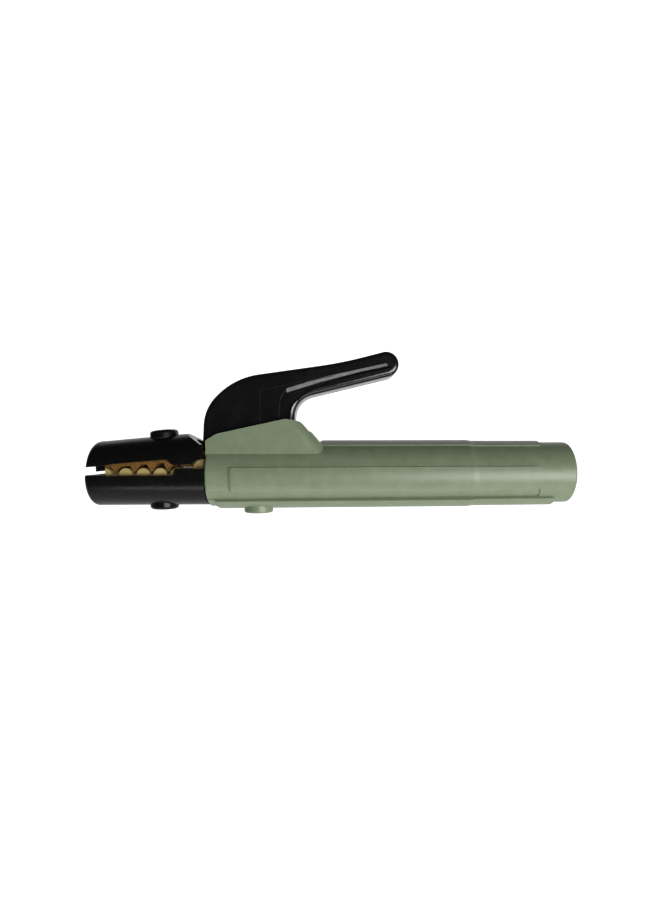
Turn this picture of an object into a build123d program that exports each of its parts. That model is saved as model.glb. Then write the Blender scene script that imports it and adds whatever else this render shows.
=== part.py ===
from build123d import *
import math
import os

# Electrode holder, tong type: a sprung lever opens the jaws when it is squeezed.
# Millimetres. The origin is the centre of the cable socket's mouth, on the handle's axis.
# +X runs along the handle to its open rear end, +Z up through the lever, and the jaws
# lie on the -X side. Everything is symmetrical about the XZ plane.

os.makedirs("parts", exist_ok=True)

# ---------------------------------------------------------------- driving dimensions
# Lengths along the handle's axis
jaw_reach = 66.0            # hinge to the front of the jaw insulators
shank_length = 69.0         # hinge to the mouth of the cable socket
tail_length = 105.0         # mouth of the cable socket to the handle's rear face
hinge_height = 9.0          # hinge above the handle's axis

# Jaws
shell_r = 15.7              # insulator outside radius
shell_wall = 3.3
nose_wall = 4.0             # closed end of each insulator
nose_round = 2.5            # lower insulator's nose
upper_nose_round = 3.5
brass_setback = 9.0         # insulator's front to the brass jaw
jaw_fit = 0.2               # brass to insulator, radial
nose_axis = 1.1             # upper jaw's axis above the lower jaw's, at the tip
tooth_base = 0.3           # level of the gullets of the lower jaw
rear_land = 3.2             # level of the casting behind the teeth
rod_seat_r = 2.0            # lengthwise seat for a rod held in line

# Hinge
eye_half = 5.2              # upper jaw's hinge eye, half width
eye_r = 7.4
washer_t = 0.35
washer_r = 6.5
ear_t = 2.8
ear_r = 8.0
pin_r = 3.0
pin_running = 0.05          # radial running clearance of the pin
clip_t = 0.6
clip_r = 5.0
clip_groove = 0.5           # depth of the pin's clip grooves
side_play = 0.05            # each washer to its ear

# Lever cover
cover_round = 2.4
ear_clear = 0.6             # cover to ears, radial
skirt_wall = 1.6            # cover in front of the ears
skirt_low = 2.9             # cover's lower front edge, above the hinge
tang_half = 3.5
tang_fit = 0.1
channel_depth = 1.6         # channel along the inner side of the lever
channel_slope = 2.4         # its sloping upper wall, seen from the side
lever_panel_depth = 0.4     # shallow flat panel above the channel
lever_pin_r = 1.2

# Handle sleeve
bore_gap = 0.5              # casting to the handle's bore, radial
sleeve_wall = 3.7
taper_drop = 0.45           # radius lost from the front to the step
step_drop = 0.4            # radius lost at the step near the rear
tail_drop = 0.25            # radius lost from the step to the rear face
step_from_rear = 51.0
panel_rise = 0.8            # raised grip panels above the plain surface
bottom_panel_rise = 1.3
groove_depth = 0.4          # shallow grooves below the side panels
spigot_depth = 5.3          # counterbore in the handle's front face
slot_gap = 1.0              # lever to each side of its slot
hood_side = 3.2             # hood's side walls
hood_wall = 1.5             # hood's sloping rear wall
rim_round = 1.2

# Spring
spring_x = 20.0             # spring axis behind the hinge
spring_r = 5.4              # outside radius
spring_wire = 1.8
coils = 5.0
cup_t = 1.5
cup_fit = 0.1
spring_seat_z = -1.0        # floor of the pocket in the casting
arm_seat_z = 12.4           # flat on the tang, above the hinge

# Cable socket
socket_r = 6.0
socket_back = 35.0          # hinge to the bottom of the socket
ferrule_t = 0.6
ferrule_fit = 0.05
ferrule_slit = 1.5
set_screw_r = 3.4

# Screws
lower_screw_x = 31.3        # hinge to the lower insulator's screw
upper_screw_x = 30.3
head_r = 7.07
head_height = 4.2           # insulating head, seat to crown
head_crown = 0.5
head_edge_round = 1.6
lower_sink = 1.9            # flat seat below the insulator's crest
upper_sink = 1.1
driver_slot_width = 1.4     # slot across the head, in line with the jaw
driver_slot_depth = 1.1
stud_in_head = 2.2
head_fit = 0.12
stud_r = 2.0
handle_screw_x = 17.0       # handle screw behind the hinge
cap_r = 7.35
cap_rise = 3.4              # cap stands proud of the handle
cap_sink = 1.4              # flat seat of the cap below the handle's surface
handle_screw_r = 2.5
thread_fit = 0.05           # screws in their tapped holes, radial

# ---------------------------------------------------------------- worked-out places
far = 60.0                          # overshoot for cutting tools
front_gap = ear_r - 0.7             # hinge to the handle's front face
hinge_x = -shank_length
tip_x = hinge_x - jaw_reach
rear_x = tail_length
front_x = hinge_x - front_gap
step_x = rear_x - step_from_rear
sleeve_length = rear_x - front_x

# across the axis: casting, then bores, then the handle's outside
brass_r = shell_r - shell_wall - jaw_fit
jaw_thick = brass_r - 2.6           # depth of each brass jaw below its axis
shank_r = brass_r - 0.4
bore_r = brass_r + bore_gap         # handle bore round the casting
collar_r = bore_r - 0.1             # the shank's locating collar
entry_r = bore_r + 0.3              # wider rear bore for the cable's jacket
spigot_r = bore_r + 1.3
handle_r = bore_r + sleeve_wall     # plain outside radius at the front
r_step = handle_r - taper_drop
r_tail = r_step - step_drop
r_rear = r_tail - tail_drop
ear_in = eye_half + washer_t + side_play
ear_out = ear_in + ear_t
cover_half = ear_out + 0.2
slot_half = cover_half + slot_gap
hood_half = slot_half + hood_side
cap_seat = handle_r - cap_sink
cap_drop = handle_r + cap_rise

# along the axis: the cable's end of the handle
entry_length = tail_length - 7.0
socket_depth = shank_length - socket_back
ferrule_length = socket_depth - 6.0
set_screw_from_mouth = (0.32 * socket_depth, 0.74 * socket_depth)

# hinge and spring
cover_inner_r = ear_r + ear_clear
skirt_front = -cover_inner_r - skirt_wall
cup_r = spring_r + 0.8
jaw_axis_v = -2.4                   # upper jaw's axis, in the tilted jaw frame
tilt = math.asin((hinge_height + jaw_axis_v - nose_axis) / jaw_reach)

hinge_plane = Plane(origin=(hinge_x, 0, hinge_height), x_dir=(1, 0, 0), z_dir=(0, -1, 0))
jaw_dir = (math.cos(tilt), 0, math.sin(tilt))
jaw_plane = Plane(origin=(hinge_x, 0, hinge_height), x_dir=jaw_dir, z_dir=(0, -1, 0))


def cross_plane(x):
    """Plane across the handle's axis at x, with Y and Z as its own axes."""
    return Plane(origin=(x, 0, 0), x_dir=(0, 1, 0), z_dir=(1, 0, 0))


def jaw_cross_plane(u):
    """Plane across the tilted upper jaw, u millimetres along it from the hinge."""
    at = (hinge_x + u * jaw_dir[0], 0, hinge_height + u * jaw_dir[2])
    return Plane(origin=at, x_dir=(0, 1, 0), z_dir=jaw_dir)


def save(part, name):
    part.label = name
    export_step(part, f"parts/{name}.step")


# ---------------------------------------------------------------- handle sleeve
top_panel = (-31.0, 62.0)           # start angle from +Z and sweep, degrees
side_panel = (78.0, 40.0)
groove_band = (118.0, 21.0)
bottom_panel = (139.0, 82.0)
top_panel_end = 14.9                # panel ends before the handle's rear face
side_panel_end = 17.5
bottom_panel_end = 9.0
side_panel_start = 9.0              # panel starts behind the handle's front face
panel_corner = 2.0
panel_sunk = 1.0
step_run = 3.0
panel_ramp = 4.0            # panels rise over this length at their front


def sleeve_radius(x):
    """Plain outside radius of the sleeve at x."""
    if x <= step_x:
        return handle_r - taper_drop * (x - front_x) / (step_x - front_x)
    return r_tail - tail_drop * (x - step_x) / (rear_x - step_x)


def band(start, sweep, x0, x1, low, high, corner=0.0, ramp=0.0):
    """A strip of the sleeve's surface from x0 to x1, low to high about its plain radius."""
    with BuildPart(mode=Mode.PRIVATE) as strip:
        with BuildSketch(Plane.XZ.rotated((-start, 0, 0))):
            with BuildLine():
                Polyline(
                    (x0, sleeve_radius(x0) + low),
                    (x0 + ramp, sleeve_radius(x0 + ramp) + high),
                    (step_x, r_step + high),
                    (step_x + step_run, r_tail + high),
                    (x1, sleeve_radius(x1) + high),
                    (x1, sleeve_radius(x1) + low),
                    close=True,
                )
            make_face()
        revolve(axis=Axis.X, revolution_arc=-sweep)
        if corner > 0.0:
            straight = strip.edges().filter_by(GeomType.LINE)
            ends = straight.filter_by(lambda e: abs(e.tangent_at(0).X) < 0.01)
            fillet(ends, corner)
    return strip.part


def raised_panel(start, sweep, x0, x1, rise=panel_rise):
    return band(start, sweep, x0, x1, -panel_sunk, rise, panel_corner, panel_ramp)


def side_panels():
    one = raised_panel(*side_panel, front_x + side_panel_start, rear_x - side_panel_end)
    return [one, one.mirror(Plane.XZ)]


def side_grooves():
    start, sweep = groove_band
    one = band(start, sweep, front_x - 1.0, rear_x - side_panel_end, -groove_depth, 2.0)
    return [one, one.mirror(Plane.XZ)]


# Hood: the raised box round the foot of the lever, open to the front and to the top.
# Its outline is seen from the side, measured from the hinge.
hood_outline = [
    (-front_gap, -hinge_height),
    (-front_gap, 7.9),
    (-2.0, 11.1),
    (31.9, 18.3),
    (40.2, 16.9),
    (48.4, 7.4),
    (56.0, -1.0),
    (56.0, -hinge_height),
]
hood_radii = [0, 1.0, 6.0, 9.0, 7.0, 3.0, 0, 0]
hood_rear_round = 6.0       # corners of the hood's rear slope
slot_rear_round = 4.0
slope_top, slope_foot = hood_outline[4], hood_outline[5]
slope_run = slope_foot[0] - slope_top[0]
slope_fall = slope_top[1] - slope_foot[1]
slope_plane = Plane(
    origin=hinge_plane.from_local_coords(slope_foot),
    x_dir=(0, 1, 0),
    z_dir=(slope_run, 0, -slope_fall),
)
slot_lip = 12.2             # top of the slot's rear wall, above the hinge

with BuildPart() as handle_sleeve:
    with BuildSketch(Plane.XZ):
        with BuildLine():
            Polyline(
                (front_x, 0),
                (front_x, handle_r),
                (step_x, r_step),
                (step_x + step_run, r_tail),
                (rear_x, r_rear),
                (rear_x, 0),
                close=True,
            )
        make_face()
    revolve(axis=Axis.X)
    rims = handle_sleeve.edges().filter_by(GeomType.CIRCLE).sort_by(Axis.X)
    fillet([rims[0], rims[-1]], rim_round)
    for groove in side_grooves():
        add(groove, mode=Mode.SUBTRACT)
    with BuildPart(hinge_plane, mode=Mode.PRIVATE) as hood:
        with BuildSketch(hinge_plane):
            with BuildLine():
                FilletPolyline(*hood_outline, radius=hood_radii, close=True)
            make_face()
        extrude(amount=hood_half, both=True)
        with BuildSketch(slope_plane):
            with Locations((0, -far / 2)):
                RectangleRounded(2 * hood_half, far, hood_rear_round)
        extrude(amount=2 * far, both=True, mode=Mode.INTERSECT)
    add(hood.part)
    for panel in side_panels():
        add(panel)
    add(raised_panel(*top_panel, hinge_x + 46.0, rear_x - top_panel_end))
    bottom_span = (front_x + rim_round, rear_x - bottom_panel_end)
    add(raised_panel(*bottom_panel, *bottom_span, bottom_panel_rise))
    # bores: the casting's, the jacket's and the insulator's spigot
    with BuildSketch(cross_plane(front_x - 1.0)):
        Circle(bore_r)
    extrude(amount=sleeve_length + 2.0, mode=Mode.SUBTRACT)
    with BuildSketch(cross_plane(rear_x - entry_length)):
        Circle(entry_r)
    extrude(amount=entry_length + 1.0, mode=Mode.SUBTRACT)
    with BuildSketch(cross_plane(front_x - 1.0)):
        Circle(spigot_r)
    extrude(amount=spigot_depth + 1.0, mode=Mode.SUBTRACT)
    # slot for the foot of the lever, with a low lip behind it
    with BuildPart(mode=Mode.PRIVATE) as lever_slot:
        with BuildSketch(hinge_plane):
            with BuildLine():
                Polyline(
                    (-front_gap - 1.0, -hinge_height),
                    (-front_gap - 1.0, 40.0),
                    (slope_foot[0] - 2.0, 40.0),
                    (slope_foot[0] - 2.0, -hinge_height),
                    close=True,
                )
            make_face()
        extrude(amount=slot_half, both=True)
        with BuildSketch(slope_plane):
            with Locations((0, -hood_wall - far / 2)):
                RectangleRounded(2 * slot_half, far, slot_rear_round)
        extrude(amount=2 * far, both=True, mode=Mode.INTERSECT)
    add(lever_slot.part, mode=Mode.SUBTRACT)
    with BuildSketch(hinge_plane):
        with Locations((slope_foot[0], slot_lip + far / 2)):
            Rectangle(40.0, far)
    extrude(amount=slot_half, both=True, mode=Mode.SUBTRACT)
    # handle screw: hole and flat seat for its cap
    with BuildSketch(Plane.XY.offset(-cap_seat)):
        with Locations((hinge_x + handle_screw_x, 0)):
            Circle(cap_r + cup_fit)
    extrude(amount=-10.0, mode=Mode.SUBTRACT)
    with BuildSketch(Plane.XY):
        with Locations((hinge_x + handle_screw_x, 0)):
            Circle(handle_screw_r + 0.4)
    extrude(amount=-30.0, mode=Mode.SUBTRACT)

save(handle_sleeve.part, "handle_sleeve")

# ---------------------------------------------------------------- screws and their heads
def screw_head(plane, sink):
    """Insulating screw head: a disc with a low crown, a round rim and a driver slot.

    plane has its origin on the insulator's crest and its z axis along the screw, pointing
    out. sink is the depth of the head's flat seat below the crest.
    """
    seat = plane.offset(-sink)
    profile = [
        (0, 0),
        (head_r, 0),
        (head_r, head_height - head_crown),
        (0.45 * head_r, head_height),
        (0, head_height),
    ]
    with BuildPart(mode=Mode.PRIVATE) as head:
        with BuildSketch(Plane(origin=seat.origin, x_dir=seat.x_dir, z_dir=-seat.y_dir)):
            with BuildLine():
                FilletPolyline(*profile, radius=[0, 0, head_edge_round, 8.0, 0], close=True)
            make_face()
        revolve(axis=Axis(seat.origin, seat.z_dir))
        with BuildSketch(seat):
            Circle(stud_r)
        extrude(amount=stud_in_head, mode=Mode.SUBTRACT)
        with BuildSketch(seat.offset(head_height)):
            Rectangle(2 * head_r + 1.0, driver_slot_width)
        extrude(amount=-driver_slot_depth, mode=Mode.SUBTRACT)
    return head.part


lower_screw_plane = Plane(
    origin=(hinge_x - lower_screw_x, 0, -shell_r), x_dir=(1, 0, 0), z_dir=(0, 0, -1)
)
upper_crest = jaw_axis_v + shell_r
upper_screw_plane = Plane(
    origin=jaw_plane.from_local_coords((-upper_screw_x, upper_crest, 0)),
    x_dir=jaw_dir,
    z_dir=jaw_plane.y_dir,
)
stud_inner = shell_wall + jaw_fit + 8.0     # depth of the stud's end below the crest

heads = {"lower": (lower_screw_plane, lower_sink), "upper": (upper_screw_plane, upper_sink)}
for side, (plane, sink) in heads.items():
    with BuildPart() as insulator_head:
        add(screw_head(plane, sink))
    save(insulator_head.part, f"{side}_insulator_head")
    with BuildPart() as insulator_stud:
        with BuildSketch(plane.offset(stud_in_head - sink)):
            Circle(stud_r)
        extrude(amount=sink - stud_in_head - stud_inner)
        tip_edges = insulator_stud.edges().filter_by(GeomType.CIRCLE)
        chamfer(tip_edges.sort_by(Axis(plane.origin, plane.z_dir))[0], 0.5)
    save(insulator_stud.part, f"{side}_insulator_stud")

# ---------------------------------------------------------------- lower jaw insulator
recess_start = brass_setback + 0.4
recess_end = jaw_reach - 21.8
lower_edge = [
    (0.0, -1.8),
    (1.1, 0.3),
    (recess_start, 0.4),
    (recess_start + 0.5, tooth_base - 0.4),
    (recess_end - 0.4, tooth_base - 0.3),
    (recess_end + 0.4, rear_land),
    (jaw_reach + 20.0, rear_land),
]
spigot_fit = 0.15
shell_gap = 0.45            # insulator's shoulder to the handle's front face

with BuildPart() as lower_jaw_insulator:
    with BuildSketch(cross_plane(tip_x)):
        Circle(shell_r)
    extrude(amount=jaw_reach - front_gap - shell_gap)
    nose = lower_jaw_insulator.edges().filter_by(GeomType.CIRCLE).sort_by(Axis.X)[0]
    fillet(nose, nose_round)
    with BuildSketch(cross_plane(front_x - shell_gap - 0.5)):
        Circle(spigot_r - spigot_fit)
    extrude(amount=shell_gap + 0.5 + spigot_depth - 0.3)
    with BuildSketch(cross_plane(tip_x + nose_wall)):
        Circle(shell_r - shell_wall)
    extrude(amount=jaw_reach + far, mode=Mode.SUBTRACT)
    with BuildSketch(Plane.XZ):
        with BuildLine():
            above = [(tip_x + s, z) for s, z in lower_edge]
            Polyline(*above, (above[-1][0], far), (above[0][0], far), close=True)
        make_face()
    extrude(amount=far, both=True, mode=Mode.SUBTRACT)
    with BuildSketch(lower_screw_plane.offset(-lower_sink)):
        Circle(head_r + head_fit)
    extrude(amount=far, mode=Mode.SUBTRACT)
    with BuildSketch(lower_screw_plane.offset(1.0)):
        Circle(stud_r + 0.2)
    extrude(amount=-shell_wall - 3.0, mode=Mode.SUBTRACT)

save(lower_jaw_insulator.part, "lower_jaw_insulator")

# ---------------------------------------------------------------- upper jaw insulator
# In the tilted frame of the upper jaw: u along the jaw from the hinge, v square to it.
upper_edge = [
    (-jaw_reach - 6.0, 0.6),
    (-jaw_reach + 8.5, 0.5),
    (-jaw_reach + 13.5, 1.0),
    (recess_end - jaw_reach - 3.7, 0.8),
    (recess_end - jaw_reach - 1.5, -1.9),
    (-13.4, -2.6),
    (-11.8, -1.2),
    (-9.4, -0.4),
    (-7.0, -0.4),
]
upper_edge_radii = [3.0, 6.0, 1.0, 1.0, 0.8, 1.5, 1.0]
upper_rear_u = -ear_r
rear_slope = [
    (-18.0, upper_crest + 1.0),
    (-18.0, upper_crest + 0.05),
    (-11.8, upper_crest - 4.7),
    (upper_rear_u - 1.5, upper_crest - 6.6),
    (upper_rear_u - 0.3, -0.6),
    (0.0, -0.6),
    (0.0, upper_crest + 1.0),
]
upper_front_u = 0.2 - jaw_reach
skirt_gap = 0.2
pad_depth = 1.2
rib_half = 10.5             # rib inside the nose, in front of the brass
rib_low = -2.0

with BuildPart() as upper_jaw_insulator:
    with BuildSketch(jaw_cross_plane(upper_front_u - nose_wall)):
        with Locations((0, jaw_axis_v)):
            Circle(shell_r)
    extrude(amount=upper_rear_u - upper_front_u + nose_wall)
    # the tilted shell ends in a plane level with the lower insulator's nose
    with BuildSketch(cross_plane(tip_x)):
        Rectangle(2 * far, 2 * far)
    extrude(amount=-far, mode=Mode.SUBTRACT)
    fillet(upper_jaw_insulator.faces().sort_by(Axis.X)[0].edges(), upper_nose_round)
    # flat pad under the screw's head
    with BuildSketch(upper_screw_plane.offset(-upper_sink)):
        Circle(head_r)
    extrude(amount=-pad_depth)
    with BuildSketch(jaw_cross_plane(upper_front_u + nose_wall)):
        with Locations((0, jaw_axis_v)):
            Circle(shell_r - shell_wall)
    extrude(amount=jaw_reach + far, mode=Mode.SUBTRACT)
    below = [(upper_edge[-1][0], -far), (upper_edge[0][0], -far)]
    with BuildSketch(jaw_plane):
        with BuildLine():
            FilletPolyline(
                *upper_edge, *below, radius=[0, *upper_edge_radii, 0, 0, 0], close=True
            )
        make_face()
    extrude(amount=far, both=True, mode=Mode.SUBTRACT)
    with BuildSketch(jaw_plane):
        with BuildLine():
            Polyline(*rear_slope, close=True)
        make_face()
    extrude(amount=far, both=True, mode=Mode.SUBTRACT)
    # notch round the front of the lever cover
    with BuildSketch(hinge_plane):
        with Locations((skirt_front - skirt_gap + far / 2, skirt_low - skirt_gap + far / 2)):
            Rectangle(far, far)
    extrude(amount=cover_half + skirt_gap, both=True, mode=Mode.SUBTRACT)
    # rib across the inside of the nose
    with BuildSketch(jaw_cross_plane(upper_front_u + nose_wall - 0.5)):
        with BuildSketch(mode=Mode.PRIVATE) as rib_band:
            with Locations((0, rib_low + 2.5)):
                Rectangle(2 * rib_half, 5.0)
        Circle(shell_r)
        add(rib_band.sketch, mode=Mode.INTERSECT)
    extrude(amount=brass_setback - nose_wall - 0.8)
    with BuildSketch(upper_screw_plane.offset(-upper_sink)):
        Circle(head_r + head_fit)
    extrude(amount=far, mode=Mode.SUBTRACT)
    with BuildSketch(upper_screw_plane.offset(1.0)):
        Circle(stud_r + 0.2)
    extrude(amount=-shell_wall - 3.0, mode=Mode.SUBTRACT)

save(upper_jaw_insulator.part, "upper_jaw_insulator")

# ---------------------------------------------------------------- lower jaw casting
first_tooth = brass_setback + 0.2   # half tooth at the casting's front
last_tooth = recess_end + 0.2       # half tooth against the rear land
tooth_run = last_tooth - first_tooth
tooth_r = tooth_run / 11.0
tooth_shares = (0.287, 0.531, 0.767)
tooth_centres = [first_tooth + f * tooth_run for f in tooth_shares]
ear_outline = [
    (-15.6, rear_land - hinge_height - 0.5),
    (-12.2, -1.9),
    (-7.0, -0.8),
    (ear_r - 1.5, 0.0),
    (ear_r + 3.0, -hinge_height - 1.0),
    (-15.6, -hinge_height - 1.0),
]
ear_radii = [0, 2.0, 0, 0, 0, 0]
eye_floor = hinge_height - eye_r - 0.8      # floor between the ears, above the axis
spring_floor_end = spring_x + cup_r + 0.8   # end of the low part of the casting
screw_boss_r = 5.0

with BuildPart() as jaw_body:
    # half-round bar, with its flat underside
    with BuildSketch(cross_plane(tip_x + brass_setback)):
        with BuildSketch(mode=Mode.PRIVATE) as window:
            with Locations((0, (tooth_base - jaw_thick) / 2)):
                Rectangle(2 * far, jaw_thick + tooth_base)
        Circle(brass_r)
        add(window.sketch, mode=Mode.INTERSECT)
    extrude(amount=jaw_reach - brass_setback + spring_floor_end)
    # teeth across the jaw
    with BuildSketch(Plane.XZ):
        for s in (first_tooth, *tooth_centres, last_tooth):
            with Locations((tip_x + s, tooth_base)):
                Circle(tooth_r)
        with Locations((tip_x + (recess_end + first_tooth) / 2, tooth_base + tooth_r / 2)):
            Rectangle(recess_end - first_tooth, tooth_r + 0.02, mode=Mode.INTERSECT)
    extrude(amount=brass_r - 0.3, both=True)
    # land behind the teeth
    with BuildSketch(cross_plane(tip_x + recess_end)):
        with BuildSketch(mode=Mode.PRIVATE) as window:
            with Locations((0, (tooth_base + rear_land) / 2)):
                Rectangle(2 * far, rear_land - tooth_base + 0.02)
        Circle(brass_r)
        add(window.sketch, mode=Mode.INTERSECT)
    extrude(amount=jaw_reach - recess_end + 13.0)
    # lengthwise seat for a rod held in line with the jaws
    with BuildSketch(cross_plane(tip_x + brass_setback - 1.0)):
        with Locations((0, tooth_base + tooth_r + 0.6)):
            Circle(rod_seat_r)
    extrude(amount=recess_end - brass_setback - 1.0, mode=Mode.SUBTRACT)
    # hinge ears
    with BuildSketch(hinge_plane):
        with BuildLine():
            FilletPolyline(*ear_outline, radius=ear_radii, close=True)
        make_face()
        Circle(ear_r)
    extrude(amount=ear_out, both=True)
    with BuildSketch(hinge_plane):
        with Locations((0, (eye_floor - hinge_height + far) / 2)):
            Rectangle(2 * (eye_r + 2.0), far - eye_floor + hinge_height)
        with Locations((-eye_r - 2.0 - far / 2, (rear_land - hinge_height + far) / 2)):
            Rectangle(far, far - rear_land + hinge_height)
        with Locations((eye_r + 2.0 + far / 2, (-hinge_height + far) / 2)):
            Rectangle(far, far + hinge_height)
    extrude(amount=ear_in, both=True, mode=Mode.SUBTRACT)
    with BuildSketch(hinge_plane):
        with Locations((ear_r + 20.0, -hinge_height + far / 2)):
            Rectangle(2 * (20.0 - 1.5), far)
    extrude(amount=far, both=True, mode=Mode.SUBTRACT)
    # shank with its locating collar
    with BuildSketch(cross_plane(hinge_x + spring_floor_end)):
        Circle(shank_r)
    extrude(amount=shank_length - spring_floor_end)
    with BuildSketch(cross_plane(-8.0)):
        Circle(collar_r)
    extrude(amount=5.0)
    # bosses for the screws
    with BuildSketch(Plane.XY.offset(-jaw_thick + 1.0)):
        with Locations((lower_screw_plane.origin.X, 0)):
            Circle(screw_boss_r)
        with Locations((hinge_x + handle_screw_x, 0)):
            Circle(screw_boss_r)
    extrude(amount=-4.0)
    with BuildPart(mode=Mode.PRIVATE) as envelope:
        with BuildSketch(cross_plane(tip_x)):
            Circle(brass_r)
        extrude(amount=jaw_reach + spring_floor_end)
        with BuildSketch(cross_plane(tip_x)):
            with Locations((0, far / 2)):
                Rectangle(2 * ear_out, far)
        extrude(amount=jaw_reach + spring_floor_end)
        with BuildSketch(cross_plane(hinge_x + spring_floor_end - 1.0)):
            Circle(collar_r)
        extrude(amount=far * 2)
    add(envelope.part, mode=Mode.INTERSECT)
    # holes
    with BuildSketch(hinge_plane):
        Circle(pin_r)
    extrude(amount=far, both=True, mode=Mode.SUBTRACT)
    with BuildSketch(lower_screw_plane.offset(1.0)):
        Circle(stud_r + thread_fit)
    extrude(amount=-stud_inner - 1.5, mode=Mode.SUBTRACT)
    with BuildSketch(Plane.XY.offset(-far)):
        with Locations((hinge_x + handle_screw_x, 0)):
            Circle(handle_screw_r + thread_fit)
    extrude(amount=far - 3.0, mode=Mode.SUBTRACT)
    with BuildSketch(Plane.XY.offset(spring_seat_z)):
        with Locations((hinge_x + spring_x, 0)):
            Circle(cup_r + cup_fit)
    extrude(amount=far, mode=Mode.SUBTRACT)
    with BuildSketch(cross_plane(1.0)):
        Circle(socket_r)
    extrude(amount=-socket_depth - 1.0, mode=Mode.SUBTRACT)
    with BuildSketch(Plane.XY):
        with Locations(*[(-back, 0) for back in set_screw_from_mouth]):
            Circle(set_screw_r + thread_fit)
    extrude(amount=far, mode=Mode.SUBTRACT)
    mouth = jaw_body.edges().filter_by(GeomType.CIRCLE).group_by(Axis.X)[-1]
    chamfer(mouth, 0.8)

save(jaw_body.part, "jaw_body")

# ---------------------------------------------------------------- upper jaw casting
jaw_face_v = -0.5           # lower face of the upper jaw, in its tilted frame
ridge_tip_z = 2.0           # ridges reach down between the lower teeth
ridge_tip_half = 0.16 * tooth_r
ridge_root_half = 0.95 * tooth_r
upper_bar_end = -16.4       # full-width bar stops here, in front of the ears
bar_top = jaw_axis_v + jaw_thick
neck_outline = [
    (upper_bar_end - 5.0, -2.8),
    (upper_bar_end - 4.0, -5.2),
    (-4.0, -5.2),
    (4.0, 5.2),
    (-4.0, 7.0),
    (upper_bar_end - 2.0, bar_top - 1.6),
    (upper_bar_end - 5.0, bar_top - 3.0),
]
neck_gap = 0.3              # cover to the neck and eye
tang_outline = [
    (-5.6, 3.5),
    (-5.0, 19.0),
    (2.0, 29.0),
    (12.0, 35.5),
    (36.0, 39.4),
    (58.0, 41.9),
    (58.0, 38.2),
    (37.0, 35.0),
    (32.4, 29.5),
    (32.4, 18.0),
    (27.4, arm_seat_z),
    (12.6, arm_seat_z),
    (5.6, 3.5),
]
tang_radii = [0, 8.0, 8.0, 12.0, 40.0, 1.5, 1.5, 6.0, 5.0, 3.0, 0, 0, 0]
lever_pin_places = [(8.6, 10.7), (27.4, 15.6)]

with BuildPart() as upper_jaw:
    bar_length = jaw_reach - brass_setback + upper_bar_end
    with BuildSketch(jaw_cross_plane(brass_setback - jaw_reach)):
        with BuildSketch(mode=Mode.PRIVATE) as window:
            with Locations((0, (jaw_face_v + bar_top) / 2)):
                Rectangle(2 * far, bar_top - jaw_face_v)
        with Locations((0, jaw_axis_v)):
            Circle(brass_r)
        add(window.sketch, mode=Mode.INTERSECT)
    extrude(amount=bar_length)
    # boss for the screw, inside the insulator
    with BuildPart(mode=Mode.PRIVATE) as boss:
        with BuildSketch(upper_screw_plane.offset(-shell_wall - 6.0)):
            Circle(screw_boss_r)
        extrude(amount=far)
        with BuildSketch(jaw_cross_plane(brass_setback - jaw_reach)):
            with Locations((0, jaw_axis_v)):
                Circle(brass_r)
        extrude(amount=bar_length, mode=Mode.INTERSECT)
    add(boss.part)
    # ridges that drop between the lower teeth
    gullets = [(a + b) / 2 for a, b in zip((first_tooth, *tooth_centres), (*tooth_centres, last_tooth))]
    with BuildSketch(Plane.XZ):
        for s in gullets:
            root_z = hinge_height + (s - jaw_reach) * math.tan(tilt) + jaw_face_v + 1.0
            with BuildLine():
                Polyline(
                    (tip_x + s - ridge_root_half, root_z),
                    (tip_x + s - ridge_tip_half, ridge_tip_z),
                    (tip_x + s + ridge_tip_half, ridge_tip_z),
                    (tip_x + s + ridge_root_half, root_z),
                    close=True,
                )
            make_face()
    extrude(amount=brass_r - 0.7, both=True)
    with BuildSketch(jaw_cross_plane(brass_setback - jaw_reach - 1.0)):
        with Locations((0, jaw_face_v - 0.6)):
            Circle(rod_seat_r)
    extrude(amount=bar_length - 2.0, mode=Mode.SUBTRACT)
    # neck and hinge eye
    with BuildSketch(hinge_plane):
        with BuildLine():
            Polyline(*neck_outline, close=True)
        make_face()
        Circle(eye_r)
    extrude(amount=eye_half, both=True)
    # tang inside the lever
    with BuildSketch(hinge_plane):
        with BuildLine():
            FilletPolyline(*tang_outline, radius=tang_radii, close=True)
        make_face()
    extrude(amount=tang_half, both=True)
    # holes
    with BuildSketch(hinge_plane):
        Circle(pin_r + pin_running)
        with Locations(*lever_pin_places):
            Circle(lever_pin_r)
    extrude(amount=far, both=True, mode=Mode.SUBTRACT)
    with BuildSketch(upper_screw_plane.offset(1.0)):
        Circle(stud_r + thread_fit)
    extrude(amount=-stud_inner - 1.5, mode=Mode.SUBTRACT)

save(upper_jaw.part, "upper_jaw")

# ---------------------------------------------------------------- hinge
with BuildPart() as hinge_pin:
    with BuildSketch(hinge_plane):
        Circle(pin_r)
    extrude(amount=slot_half - 0.25, both=True)
    for side in (1, -1):
        with BuildSketch(hinge_plane.offset(side * ear_out)):
            Circle(pin_r)
            Circle(pin_r - clip_groove, mode=Mode.SUBTRACT)
        extrude(amount=side * clip_t, mode=Mode.SUBTRACT)
save(hinge_pin.part, "hinge_pin")

with BuildPart() as hinge_clips:
    for side in (1, -1):
        with BuildSketch(hinge_plane.offset(side * ear_out)):
            Circle(clip_r)
            Circle(pin_r - clip_groove, mode=Mode.SUBTRACT)
            with Locations((0, -clip_r / 2)):
                Rectangle(1.4 * pin_r, clip_r + 1.0, mode=Mode.SUBTRACT)
        extrude(amount=side * (clip_t - 0.02))
save(hinge_clips.part, "hinge_clips")

with BuildPart() as hinge_washers:
    for side in (1, -1):
        with BuildSketch(hinge_plane.offset(side * (ear_in - washer_t))):
            Circle(washer_r)
            Circle(pin_r + pin_running, mode=Mode.SUBTRACT)
        extrude(amount=side * washer_t)
save(hinge_washers.part, "hinge_washers")

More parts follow.
